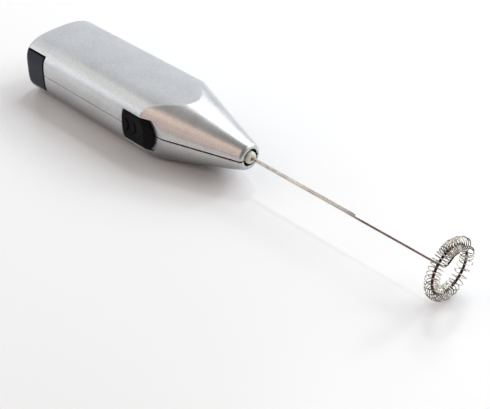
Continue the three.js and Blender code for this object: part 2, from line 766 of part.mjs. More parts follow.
// A soft bend through the points of a route.
function leadRoute(points, steps) {
  const curve = new THREE.CatmullRomCurve3(points.map(([x, y, z]) => vector(x, y, z)));
  return curve.getSpacedPoints(steps);
}

add('lead_red', wire(leadRoute(RED_LEAD_ROUTE, 18), LEAD_RADIUS, 8), RED_LEAD);
add('lead_black', wire(leadRoute(BLACK_LEAD_ROUTE, 10), LEAD_RADIUS, 8), BLACK_LEAD);

// ---------------------------------------------------------------- coupling and whisk

// A cream sleeve: bored at the back for the motor's shaft and at the front for the hairpin.
function shaftCoupling() {
  const profile = [
    [COUPLING_REAR, MOTOR_SHAFT_RADIUS + GAP],
    [COUPLING_REAR, COUPLING_RADIUS],
    ...COUPLING_NOSE.map(({ back, inset }) => [COUPLING_FRONT - back, COUPLING_RADIUS - inset]),
    [COUPLING_FRONT, MOTOR_SHAFT_RADIUS + GAP],
    [COUPLING_REAR, MOTOR_SHAFT_RADIUS + GAP],
  ];
  const web = solid(bar(MOTOR_SHAFT_FRONT + GAP, COUPLING_WEB.front, COUPLING_WEB.radius));
  return solid(turned(profile, 32)).add(web);
}

add('shaft_coupling', geometryOf(shaftCoupling()), CREAM_PLASTIC);

function ringPoint(degrees, radius = RING_RADIUS, forward = 0) {
  const angle = degrees * DEGREE;
  return vector(RING_X + forward, radius * Math.cos(angle), radius * Math.sin(angle));
}

// A point on the spoke's side of the axis.
function spokePoint(x, radius) {
  return vector(x, 0, -LEG_OFFSET).add(ringPoint(SPOKE_ANGLE, radius)).setX(x);
}

function bend(start, corner, end, steps) {
  return new THREE.QuadraticBezierCurve3(start, corner, end).getPoints(steps);
}

// One wire: the short leg's end, back to the hairpin, out along the long leg, out along a
// spoke to the ring, and round the ring to just short of where it began.
function whiskStations() {
  const stations = [];
  [SHORT_LEG_END, ...SHORT_LEG_STATIONS].forEach((x) => stations.push(vector(x, 0, LEG_OFFSET)));
  for (let i = 0; i <= 6; i += 1) {
    const angle = (90 + i / 6 * 180) * DEGREE;
    stations.push(vector(
      HAIRPIN_X + 1.5 * LEG_OFFSET * Math.cos(angle),
      0,
      LEG_OFFSET * Math.sin(angle),
    ));
  }
  LONG_LEG_STATIONS.forEach((x) => stations.push(vector(x, 0, -LEG_OFFSET)));
  const corner = vector(SPOKE_X, 0, -LEG_OFFSET);
  stations.push(...bend(
    vector(SPOKE_X - BEND, 0, -LEG_OFFSET),
    corner,
    spokePoint(SPOKE_X, BEND),
    4,
  ));
  const ringStart = SPOKE_ANGLE + RING_START_ANGLE;
  stations.push(...bend(
    spokePoint(SPOKE_X, SPOKE_BEND),
    ringPoint(SPOKE_ANGLE, RING_RADIUS + 0.3),
    ringPoint(ringStart),
    5,
  ));
  const ringSteps = 42;
  for (let i = 1; i <= ringSteps; i += 1) {
    stations.push(ringPoint(ringStart + i / ringSteps * RING_SWEEP));
  }
  return stations;
}

add('whisk_wire', wire(whiskStations(), WIRE_RADIUS, 8), STEEL);

// Distance along the ring from one turn of the coil to the next.
function coilPitch(ringAngle) {
  return COIL_BUNCHES.reduce((pitch, { angle, spread, closer }) => {
    const away = (ringAngle - angle) / spread;
    return pitch - closer * Math.exp(-away * away);
  }, COIL_PITCH);
}

// Spring wire wound loosely round the ring, closest together over the top.
function coilStations() {
  const stepsPerTurn = 9;
  const last = SPOKE_ANGLE + 360 - COIL_GAP_ANGLE;
  const stations = [];
  let ringAngle = SPOKE_ANGLE + COIL_GAP_ANGLE;
  for (let step = 0; ringAngle < last; step += 1) {
    const turn = step / stepsPerTurn * 2 * Math.PI;
    stations.push(ringPoint(
      ringAngle,
      COIL_RING_RADIUS + COIL_RADIUS * Math.cos(turn),
      COIL_RADIUS * Math.sin(turn),
    ));
    ringAngle += coilPitch(ringAngle) / stepsPerTurn / COIL_RING_RADIUS / DEGREE;
  }
  return stations;
}

add('whisk_coil', wire(coilStations(), COIL_WIRE_RADIUS, 5), STEEL);

// ---------------------------------------------------------------- placing

const box = new THREE.Box3().setFromObject(assembly, true);
assembly.position.set(-(box.min.x + box.max.x) / 2, 0, -box.min.z);

export default frother;
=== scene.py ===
"""Looks of the milk frother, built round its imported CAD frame.

The visible pieces are rebuilt as fine meshes in nose coordinates: millimetres, X = 0 at the
nose tip and Y = Z = 0 on the shaft axis. mesh_object() puts them into the frame, in metres.
"""

import json
import math

import bpy
import numpy as np
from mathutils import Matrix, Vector


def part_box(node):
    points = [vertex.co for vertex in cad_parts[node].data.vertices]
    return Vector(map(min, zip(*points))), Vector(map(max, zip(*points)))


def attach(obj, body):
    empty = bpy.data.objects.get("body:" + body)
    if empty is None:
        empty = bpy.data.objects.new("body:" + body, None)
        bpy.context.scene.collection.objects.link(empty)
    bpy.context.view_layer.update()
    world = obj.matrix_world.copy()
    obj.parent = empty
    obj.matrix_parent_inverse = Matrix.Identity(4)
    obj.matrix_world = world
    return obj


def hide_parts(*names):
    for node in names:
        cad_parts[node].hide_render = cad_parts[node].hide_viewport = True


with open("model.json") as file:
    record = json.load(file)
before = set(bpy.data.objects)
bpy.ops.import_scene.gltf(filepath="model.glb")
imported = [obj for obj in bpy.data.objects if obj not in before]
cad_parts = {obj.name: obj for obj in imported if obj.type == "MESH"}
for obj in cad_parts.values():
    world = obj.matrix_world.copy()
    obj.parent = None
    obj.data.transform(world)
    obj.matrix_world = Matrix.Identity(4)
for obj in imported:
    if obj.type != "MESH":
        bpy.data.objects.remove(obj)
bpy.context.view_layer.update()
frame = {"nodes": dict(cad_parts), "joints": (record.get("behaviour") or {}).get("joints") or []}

MM = 0.001
TAU = 2 * math.pi

# ---------------------------------------------------------------- sizes from the frame

spin = next(joint for joint in frame["joints"] if joint["name"] == "whisk_spin")
NOSE = Vector((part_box("upper_shell")[1].x, 0, spin["pos_m"][2]))


def local(corner):
    """A point of the frame in nose coordinates."""
    return (Vector(corner) - NOSE) / MM


def local_box(node):
    """The lowest and highest corners of a CAD node in nose coordinates."""
    low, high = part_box(node)
    return local(low), local(high)


shell_low, shell_high = local_box("upper_shell")
under_low, _ = local_box("lower_shell")
_, cap_high = local_box("tail_cap")
plate_low, _ = local_box("tail_contact")
slider_low, slider_high = local_box("switch_slider")
coil_low, coil_high = local_box("whisk_coil")
coupling_low, coupling_high = local_box("shaft_coupling")

GAP = 0.3                           # between neighbouring pieces, as in the CAD

# the handle: a superellipse prism, sharpened by an elliptical cone
TAIL = shell_low.x
HALF_WIDTH = shell_high.y
TOP = shell_high.z
LAND = under_low.z                  # flat underside
BOTTOM = LAND - 0.2                 # where the crowned underside would reach without its land
WALL = 1.7
TOP_SQUARENESS = 3.5
BOTTOM_SQUARENESS = 3.9
NOSE_RADIUS = 5.5
CONE_WIDTH_RISE = 0.322
CONE_TOP_RISE = 0.21
CONE_BOTTOM_RISE = 0.25
ROUND = 2                           # squareness of a plain ellipse
CONE_TOP_SQUARING = 0.0067          # squareness gained with each millimetre behind the nose
CONE_UNDER_BACK = (0, 6, 26)        # distances behind the nose, and the underside's squareness
CONE_UNDER_SQUARENESS = (ROUND, 2.7, 3.0)
SCALLOP = -39                       # about where the cone runs out on the sides
NOSE_HOLE = 3.8
NOSE_WALL = 3.0
TAIL_DOME = 1.7                     # how far the tail's middle stands proud of its sides
SEAM_HALF = 0.12                    # half of the seam's gap on the prism
SEAM_FLARE = 0.20                   # and what the cone adds to it
SEAM_FLARE_START = -45
SEAM_FLARE_RUN = 10

# radii of rounded edges
FINE_EDGE = 0.1
TAIL_ROUND = 2.8
NOSE_ROUND = 1.5
CREASE = 0.12                       # where the cone meets the prism
SEAM_EDGE = 0.14
CUT_EDGE = 0.2
MOULD_EDGE = 0.3
HOLE_EDGE = 0.35
SEAT_EDGE = 0.4
LIP_EDGE = 0.45
THUMB_EDGE = 0.5
THUMB_FRONT_EDGE = 0.6

SKIN_DEPTH = 0.4                    # how far the paint reaches into gaps

# the tail cap and its opening
TONGUE = 11.0                       # reach of the cap's tongues past its front edge
TONGUE_INSET = (16.1, 17.2)         # reach of a tongue's thickness along Y
TONGUE_HALF_HEIGHT = 4.0
TONGUE_ROOT = 1.3                   # how far a tongue reaches back into the cap
CAP_FRONT = cap_high.x - TONGUE + GAP    # edge of the shells' opening, a gap past the cap
CAP_HALF_HEIGHT = cap_high.z
CAP_FRONT_GAP = 0.42
CAP_SIDE_GAP = 0.1
CAP_LIP = 0.5                       # of the shells, between the opening and their hollow
CAP_LAP = 2.0                       # how far the opening reaches on inside the walls
PLATE_SEAT = (16.0, 7.6)            # half width and half height of the contact plate's seat
POCKETS = (2.0, 14.0)               # reach of the cap's two hollows to either side
POCKET_HALF_HEIGHT = 5.0
POCKET_FLOOR = TAIL + 5
RIM_FRONT = 0.9                     # how much of the cap's edges is painted as shadow
RIM_SIDE = 0.3
RIM_TAIL = 1.5

# the slider and its recess
RECESS_REAR = slider_low.x - GAP
RECESS_TOP = slider_high.z + GAP
RECESS_BOTTOM = slider_low.z - GAP
RECESS_MIDDLE = (RECESS_TOP + RECESS_BOTTOM) / 2
RECESS_BOW = 0.6                    # how far its rear corners stand forward of their middle
RECESS_FLOOR = -16.8
FLOOR_THICKNESS = 1.5
SLOT = (-50.5, -42.5)               # reach along X of the slot in the recess's floor
SLOT_HALF_HEIGHT = 1.6
SLOT_DEPTH = 3.0
SLIDER_FRONT = slider_high.x
SLIDER_BOW = 9.0                    # radius of its round front
DISH_X = -50.5                      # the shallow dish for the thumb
DISH_RADIUS = 31.8
DISH_DEPTH = 0.4
DISH_STRETCH = 0.8
MARKS = (-52.4, -47.9)              # fronts of the two crescent marks
MARK_RADIUS = 3.2
MARK_REAR_RADIUS = 1.35 * MARK_RADIUS
MARK_REAR_SHIFT = 1.72 * MARK_RADIUS
MARK_DEPTH = 0.75
NECK = (-50.0, -46.0)
NECK_HALF_HEIGHT = 1.3
NECK_REACH = (RECESS_FLOOR - 1, -14.0)
FOOT = (-52.0, -44.0)
FOOT_HALF_HEIGHT = 3.2

# the housing screws
SCREW_BOSS = 2.6
SCREW_BORE = 1.3
SCREW_SEAT_FLOOR = 1.5              # above the screw's lower face

# the whisk: one wire, and the thin coil round its ring
RING_X = (coil_low.x + coil_high.x) / 2
RING_RADIUS = 9.8
RING_GAP = math.radians(14)         # from the spoke to where the ring starts
RING_TURN = math.radians(328)
SPOKE_X = 97.2
SPOKE_ANGLE = math.radians(32)
SPOKE_BEND = 2.2
SPOKE_STRAIGHT = 5.6                # where the spoke starts to bend into the ring
LEG_OFFSET = 0.52                   # of each leg from the shaft axis
SHORT_LEG_END = 55.0
HAIRPIN_X = -8.0
WIRE_RADIUS = 0.43
RING_CRUST = 0.1                    # thickness of the dried coffee on the ring
COIL_WIRE = 0.2
COIL_RADIUS = 2.6                   # of a turn, to the middle of its wire
COIL_CLEARANCE = 0.35               # room for the wire and for turns that wander outwards
COIL_RING = coil_high.y - COIL_RADIUS - COIL_CLEARANCE
COIL_GAP = 13                       # degrees from the spoke to either end of the coil
COIL_PITCH = 2.0
COIL_BUNCHES = (                    # degrees round the ring, spread, and how much closer
    (95, 48, 1.1), (255, 34, 0.65), (340, 30, -0.8), (374, 10, 1.3),
)
DARK_SPOTS = (                         # degrees round the ring, radius and reach of dark spots
    (112, 10.5, 3.4), (50, 11.5, 3.2), (12, 12.0, 3.4),
)


# ---------------------------------------------------------------- fields
# A field is negative inside a body, and near its surface it is the distance in millimetres.

def both(first, second, edge=0.0):
    """What is inside both fields, with the edge between them rounded."""
    if edge <= 0:
        return np.maximum(first, second)
    blend = np.maximum(edge - np.abs(first - second), 0) / edge
    return np.maximum(first, second) + blend * blend * edge / 4


def either(first, second, edge=0.0):
    return -both(-first, -second, edge)


def without(body, hole, edge=0.0):
    return both(body, -hole, edge)


def slab(value, low, high):
    return np.maximum(low - value, value - high)


def oval(y, z, half_width, half_height, squareness):
    """Distance to a superellipse in the plane across X."""
    across = np.abs(y) / half_width + 1e-6
    up = np.abs(z) / half_height + 1e-6
    size = (across ** squareness + up ** squareness) ** (1 / squareness)
    slope_y = (across / size) ** (squareness - 1) / half_width
    slope_z = (up / size) ** (squareness - 1) / half_height
    return (size - 1) / np.hypot(slope_y, slope_z)


def handle(x, y, z, wall=0.0):
    """The handle's skin: a crowned prism, sharpened by a cone whose edge stays crisp."""
    back = np.maximum(-x, 0)
    upper = z >= 0
    prism = oval(
        y, z, HALF_WIDTH - wall,
        np.where(upper, TOP, -BOTTOM) - wall,
        np.where(upper, TOP_SQUARENESS, BOTTOM_SQUARENESS),
    )
    rise = np.where(upper, CONE_TOP_RISE, CONE_BOTTOM_RISE)
    under_squareness = np.interp(back, CONE_UNDER_BACK, CONE_UNDER_SQUARENESS)
    cone = oval(
        y, z,
        NOSE_RADIUS + CONE_WIDTH_RISE * back - wall,
        NOSE_RADIUS + rise * back - wall,
        np.where(upper, ROUND + CONE_TOP_SQUARING * back, under_squareness),
    )
    return both(prism, cone, CREASE)


def outer_skin(x, y, z):
    tail = TAIL + TAIL_DOME * (y / HALF_WIDTH) ** 2
    skin = both(handle(x, y, z), tail - x, TAIL_ROUND)
    skin = both(skin, LAND - z, MOULD_EDGE)
    return both(skin, x, NOSE_ROUND)


def cavity(x, y, z):
    """The hollow of both shells, kept away from the slider's recess."""
    hollow = both(handle(x, y, z, WALL), CAP_FRONT + CAP_LIP - x)
    hollow = both(hollow, x + NOSE_WALL)
    backing = both(
        y - RECESS_FLOOR - FLOOR_THICKNESS,
        slab(z, RECESS_BOTTOM - WALL, RECESS_TOP + WALL),
    )
    backing = both(backing, RECESS_REAR - WALL - x)
    return without(hollow, backing)


def recess_rear(z):
    """The rear edge of the recess, slightly bowed towards the tail."""
    return RECESS_REAR + RECESS_BOW * ((z - RECESS_MIDDLE) / RECESS_TOP) ** 2


def recess(x, y, z):
    sides = both(y - RECESS_FLOOR, slab(z, RECESS_BOTTOM, RECESS_TOP), MOULD_EDGE)
    return both(sides, recess_rear(z) - x, MOULD_EDGE)


def shell(x, y, z):
    """Both halves of the handle in one, before they are parted along the seam."""
    body = without(outer_skin(x, y, z), cavity(x, y, z))
    body = without(body, np.hypot(y, z) - NOSE_HOLE, HOLE_EDGE)
    body = without(body, recess(x, y, z), LIP_EDGE)
    slot = both(np.abs(z) - SLOT_HALF_HEIGHT, slab(x, *SLOT))
    body = without(body, both(slot, y - RECESS_FLOOR - SLOT_DEPTH))
    band = np.abs(z) - CAP_HALF_HEIGHT - GAP
    body = without(body, both(x - CAP_FRONT, band), CUT_EDGE)
    inside = both(x - CAP_FRONT - CAP_LAP, band)
    return without(body, both(inside, handle(x, y, z, WALL)))


def half_seam(x):
    """Half of the gap between the shells, which opens towards the nose."""
    return SEAM_HALF + SEAM_FLARE * np.clip((x - SEAM_FLARE_START) / SEAM_FLARE_RUN, 0, 1)


def upper_shell(x, y, z):
    return both(shell(x, y, z), half_seam(x) - z, SEAM_EDGE)


def lower_shell(x, y, z):
    body = both(shell(x, y, z), z + half_seam(x), SEAM_EDGE)
    for index in (1, 2, 3):
        low, high = local_box(f"housing_screw_{index}")
        across = np.hypot(x - (low.x + high.x) / 2, y - (low.y + high.y) / 2)
        boss = both(both(across - SCREW_BOSS, z + half_seam(x)), LAND - z)
        body = either(body, both(boss, outer_skin(x, y, z)))
        seat = both(across - (high.x - low.x) / 2 - GAP, z - low.z - SCREW_SEAT_FLOOR)
        body = without(body, seat, SEAT_EDGE)
        body = without(body, across - SCREW_BORE)
    return body


def tail_cap(x, y, z):
    """The plug: a block that follows the skin, hollow towards the cells, with two tongues."""
    cap = both(outer_skin(x, y, z), x - CAP_FRONT + CAP_FRONT_GAP, LIP_EDGE)
    cap = both(cap, np.abs(z) - CAP_HALF_HEIGHT + CAP_SIDE_GAP, LIP_EDGE)
    seat = both(np.abs(y) - PLATE_SEAT[0], np.abs(z) - PLATE_SEAT[1])
    cap = without(cap, both(seat, plate_low.x - GAP - x), CUT_EDGE)
    pockets = both(slab(np.abs(y), *POCKETS), np.abs(z) - POCKET_HALF_HEIGHT)
    cap = without(cap, both(pockets, POCKET_FLOOR - x), CUT_EDGE)
    tongue = both(slab(np.abs(y), *TONGUE_INSET), np.abs(z) - TONGUE_HALF_HEIGHT, CUT_EDGE)
    tongue = both(tongue, slab(x, CAP_FRONT - TONGUE_ROOT, cap_high.x), MOULD_EDGE)
    return either(cap, tongue, CUT_EDGE)


def thumb_face(x, y, z):
    """The part of the slider that shows, which follows the skin."""
    skin = outer_skin(x, y, z)
    face = both(skin, y - RECESS_FLOOR + GAP)
    bow = np.hypot(x - SLIDER_FRONT + SLIDER_BOW, z - RECESS_MIDDLE) - SLIDER_BOW
    front = np.where(x < SLIDER_FRONT - SLIDER_BOW, x - SLIDER_FRONT, bow)
    face = both(face, front, THUMB_FRONT_EDGE)
    sides = both(slab(z, slider_low.z, slider_high.z), recess_rear(z) + GAP - x, MOULD_EDGE)
    face = both(face, sides, THUMB_EDGE)
    dish_y = -HALF_WIDTH - DISH_RADIUS + DISH_DEPTH
    away = np.sqrt((x - DISH_X) ** 2 + (z * DISH_STRETCH) ** 2 + (y - dish_y) ** 2)
    face = without(face, away - DISH_RADIUS, THUMB_EDGE)
    for mark in MARKS:
        fore = np.hypot(x - mark + MARK_RADIUS, z) - MARK_RADIUS
        rear = MARK_REAR_RADIUS - np.hypot(x - mark + MARK_REAR_SHIFT, z)
        groove = both(both(fore, rear, FINE_EDGE), -MARK_DEPTH - skin)
        face = without(face, groove, MOULD_EDGE)
    return face


def slider(x, y, z):
    """The thumb piece, with a neck through the slot and a foot that holds it inside."""
    neck = both(slab(x, *NECK), np.abs(z) - NECK_HALF_HEIGHT, CUT_EDGE)
    neck = both(neck, slab(y, *NECK_REACH))
    foot = both(slab(x, *FOOT), np.abs(z) - FOOT_HALF_HEIGHT, MOULD_EDGE)
    foot = both(foot, slab(y, RECESS_FLOOR + FLOOR_THICKNESS + GAP, slider_high.y), MOULD_EDGE)
    return either(either(thumb_face(x, y, z), neck, FINE_EDGE), foot, FINE_EDGE)


# ---------------------------------------------------------------- mesh from a field

def graded(low, high, coarse, marks):
    """Grid lines from low to high: fine near each (place, reach, fine) mark, coarse elsewhere."""
    growth = 0.35
    lines = [low]
    while lines[-1] < high:
        steps = [
            fine + max(abs(lines[-1] - place) - reach, 0) * growth
            for place, reach, fine in marks
        ]
        lines.append(lines[-1] + min(coarse, *steps))
    return np.array(lines)


def gradient(field, points):
    """The field's slope along X, Y and Z at each point."""
    step = 0.02
    slopes = []
    for axis in range(3):
        shift = np.zeros(3)
        shift[axis] = step
        ahead = field(*(points + shift).T)
        behind = field(*(points - shift).T)
        slopes.append((ahead - behind) / (2 * step))
    return np.stack(slopes, 1)


def surface_net(field, lines):
    """Points and quads of the field's zero surface on a grid of lines along X, Y and Z."""
    grid = np.meshgrid(*lines, indexing="ij")
    values = field(*grid)
    inside = values < 0
    cells = tuple(n - 1 for n in values.shape)
    total = np.zeros(cells + (3,))
    count = np.zeros(cells)
    crossings = []
    for axis in range(3):
        near = [slice(None)] * 3
        far = [slice(None)] * 3
        near[axis] = slice(None, -1)
        far[axis] = slice(1, None)
        near, far = tuple(near), tuple(far)
        crossed = inside[near] != inside[far]
        place = np.argwhere(crossed)
        start = values[near][crossed]
        share = start / (start - values[far][crossed])
        at = np.stack([lines[a][place[:, a]] for a in range(3)], 1)
        at[:, axis] += share * (lines[axis][place[:, axis] + 1] - lines[axis][place[:, axis]])
        others = [a for a in range(3) if a != axis]
        around = []
        for corner in ((0, 0), (1, 0), (1, 1), (0, 1)):
            cell = place.copy()
            cell[:, others[0]] -= corner[0]
            cell[:, others[1]] -= corner[1]
            good = ((cell >= 0) & (cell < cells)).all(1)
            np.add.at(total, tuple(cell[good].T), at[good])
            np.add.at(count, tuple(cell[good].T), 1)
            around.append((cell, good))
        flip = inside[near][crossed] if axis != 1 else ~inside[near][crossed]
        crossings.append((around, flip))
    index = np.full(cells, -1)
    used = count > 0
    index[used] = np.arange(used.sum())
    points = total[used] / count[used][:, None]
    quads = []
    for around, flip in crossings:
        whole = np.all([good for _, good in around], axis=0)
        quad = np.stack([index[tuple(cell[whole].T)] for cell, _ in around], 1)
        turned = quad[:, ::-1]
        quads.append(np.where(flip[whole][:, None], quad, turned))
    return points, np.concatenate(quads)


def settle(field, points):
    """Moves each point along the field's slope, by small steps, onto the surface."""
    reach = 0.25
    for _ in range(6):
        slope = gradient(field, points)
        size = (slope ** 2).sum(1)[:, None] + 1e-9
        move = field(*points.T)[:, None] * slope / size
        length = np.linalg.norm(move, axis=1, keepdims=True)
        points = points - move * np.minimum(1, reach / (length + 1e-9))
    return points


def mesh_object(name, points, faces, normals=None):
    """An object from points in nose coordinates."""
    mesh = bpy.data.meshes.new(name)
    placed = np.asarray(points) * MM + np.array(NOSE)
    mesh.from_pydata(placed.tolist(), [], [list(map(int, face)) for face in faces])
    mesh.validate()
    mesh.polygons.foreach_set("use_smooth", [True] * len(mesh.polygons))
    if normals is not None:
        mesh.normals_split_custom_set_from_vertices(normals.tolist())
    mesh.update()
    piece = bpy.data.objects.new(name, mesh)
    bpy.context.scene.collection.objects.link(piece)
    return piece


def grown(name, field, lines):
    """An object that is a field's surface, shaded with the field's own slope."""
    points, quads = surface_net(field, lines)
    points = settle(field, points)
    slope = gradient(field, points)
    normals = slope / (np.linalg.norm(slope, axis=1, keepdims=True) + 1e-9)
    return mesh_object(name, points, quads, normals)


def line_with(piece, material, hidden):
    """Gives the faces that lie in a field, such as a shell's bare inside, their own material."""
    piece.data.materials.append(material)
    count = len(piece.data.polygons)
    centres = np.empty(count * 3)
    piece.data.polygons.foreach_get("center", centres)
    centres = (centres.reshape(-1, 3) - np.array(NOSE)) / MM
    index = (hidden(*centres.T) < 0).astype(int)
    piece.data.polygons.foreach_set("material_index", index.tolist())


def bare_inside(x, y, z):
    """Where the shells are unpainted: everything well under the skin, outside the recess."""
    return both(outer_skin(x, y, z) + SKIN_DEPTH, SKIN_DEPTH - recess(x, y, z))


def cap_shadow_rim(x, y, z):
    """The cap's turned-down front, top and bottom edges, where a near-black material paints their
    shadow.
    """
    rim = either(CAP_FRONT - RIM_FRONT - x, CAP_HALF_HEIGHT - RIM_SIDE - np.abs(z))
    return both(rim, TAIL + RIM_TAIL - x)


def finish_piece(piece, material, body, slot, *nodes):
    """Gives a piece its material and its body, and hides the CAD nodes it stands for."""
    piece.data.materials.append(material)
    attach(piece, body)
    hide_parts(*nodes)
    return piece


# ---------------------------------------------------------------- wires and turned pieces

def sweep(name, route, radius, sides):
    """A round wire along a route, with domed ends. The radius may change from point to point."""
    route = np.asarray(route, float)
    radii = np.broadcast_to(radius, len(route))
    tangent = np.gradient(route, axis=0)
    tangent /= np.linalg.norm(tangent, axis=1, keepdims=True)
    side = np.cross(tangent[0], (0.3, 0.5, 0.8))
    rings = []
    for at, along, reach in zip(route, tangent, radii):
        side = side - along * side.dot(along)
        side /= np.linalg.norm(side)
        rings.append((at, along, side * reach))
    caps = [(0.95, 0.35), (0.6, 0.8)]
    at, along, side = rings[0]
    head = [(at - along * radii[0] * drop, along, side * size) for size, drop in reversed(caps)]
    at, along, side = rings[-1]
    foot = [(at + along * radii[-1] * drop, along, side * size) for size, drop in caps]
    rings = head + rings + foot
    angle = np.arange(sides) / sides * TAU
    points = []
    for at, along, side in rings:
        up = np.cross(along, side)
        points.append(at + np.outer(np.cos(angle), side) + np.outer(np.sin(angle), up))
    points = np.concatenate(points)
    last = len(rings) - 1
    faces = [
        (r * sides + s, r * sides + (s + 1) % sides,
         (r + 1) * sides + (s + 1) % sides, (r + 1) * sides + s)
        for r in range(last) for s in range(sides)
    ]
    faces.append(tuple(reversed(range(sides))))
    faces.append(tuple(range(last * sides, last * sides + sides)))
    return mesh_object(name, points, faces)


def turned(name, profile, sides=64, y=0.0):
    """A closed body turned about X, from (x, radius) pairs that start and end on the axis."""
    angle = np.arange(sides) / sides * TAU
    points = [(profile[0][0], y, 0)]
    for x, radius in profile[1:-1]:
        points += [(x, y + radius * math.cos(a), radius * math.sin(a)) for a in angle]
    points.append((profile[-1][0], y, 0))
    rings = len(profile) - 2
    end = len(points) - 1
    faces = []
    for s in range(sides):
        after = (s + 1) % sides
        faces.append((0, 1 + after, 1 + s))
        for r in range(rings - 1):
            here, there = 1 + r * sides, 1 + (r + 1) * sides
            faces.append((here + s, here + after, there + after, there + s))
        faces.append((end, 1 + (rings - 1) * sides + s, 1 + (rings - 1) * sides + after))
    piece = mesh_object(name, points, faces)
    piece.data.set_sharp_from_angle(angle=math.radians(40))
    return piece


def arc(centre_x, centre_r, radius, start, end):
    """Profile points on an arc, with angles in degrees from +X towards outwards."""
    steps = 6
    turns = [math.radians(start + (end - start) * i / steps) for i in range(steps + 1)]
    return [(centre_x + radius * math.cos(t), centre_r + radius * math.sin(t)) for t in turns]


def ring_point(angle, radius=RING_RADIUS, forward=0.0):
    """A point of the ring's plane at an angle from +Y towards +Z, or forward of it."""
    return np.array((RING_X + forward, radius * math.cos(angle), radius * math.sin(angle)))


def bend(start, corner, end, steps):
    """Points on a smooth bend from start to end that leaves and arrives towards the corner."""
    shares = np.linspace(0, 1, steps)[:, None]
    return (1 - shares) ** 2 * start + 2 * shares * (1 - shares) * corner + shares ** 2 * end


def whisk_route():
    """Short leg, hairpin, long leg, spoke and ring of the one wire."""
    below = np.array((0, 0, -LEG_OFFSET))
    leg_rear = HAIRPIN_X + 0.4
    parts = [np.linspace((SHORT_LEG_END, 0, LEG_OFFSET), (leg_rear, 0, LEG_OFFSET), 40)]
    turn = np.radians(np.linspace(100, 260, 9))
    parts.append(np.stack([
        HAIRPIN_X + LEG_OFFSET * np.cos(turn), 0 * turn, LEG_OFFSET * np.sin(turn),
    ], 1))
    leg_front = SPOKE_X - SPOKE_BEND - 0.2
    parts.append(np.linspace((leg_rear, 0, -LEG_OFFSET), (leg_front, 0, -LEG_OFFSET), 80))
    out = np.array((0, math.cos(SPOKE_ANGLE), math.sin(SPOKE_ANGLE)))
    corner = np.array((SPOKE_X, 0, 0)) + below
    parts.append(bend(corner - (SPOKE_BEND, 0, 0), corner, corner + SPOKE_BEND * out, 9))
    start = SPOKE_ANGLE + RING_GAP
    parts.append(bend(
        corner + SPOKE_STRAIGHT * out,
        ring_point(SPOKE_ANGLE, RING_RADIUS + 0.3),
        ring_point(start), 10,
    ))
    steps = 150
    parts.append(np.array([
        ring_point(start + RING_TURN * i / steps) for i in range(1, steps + 1)
    ]))
    return np.concatenate(parts)


def coil_pitch(degrees):
    """Distance along the ring from one turn to the next, closest over the top."""
    pitch = COIL_PITCH
    for angle, spread, closer in COIL_BUNCHES:
        pitch -= closer * math.exp(-((degrees - angle) / spread) ** 2)
    return pitch


def coil_route():
    """The loose spring round the ring. Its turns wander a little, as hand-wound wire does."""
    steps = 26
    degrees = math.degrees(SPOKE_ANGLE) + COIL_GAP
    last = math.degrees(SPOKE_ANGLE) + 360 - COIL_GAP
    route = []
    step = 0
    while degrees < last:
        turn = step / steps * TAU
        wander = 0.07 * math.sin(step * 0.11) + 0.05 * math.sin(step * 0.037 + 1)
        lean = 0.22 * math.sin(step * 0.021 + 2)
        radius = COIL_RADIUS + wander
        route.append(ring_point(
            math.radians(degrees) + lean * math.cos(turn) / COIL_RING,
            COIL_RING + radius * math.cos(turn),
            radius * math.sin(turn),
        ))
        degrees += math.degrees(coil_pitch(degrees) / steps / COIL_RING)
        step += 1
    return route


# ---------------------------------------------------------------- materials

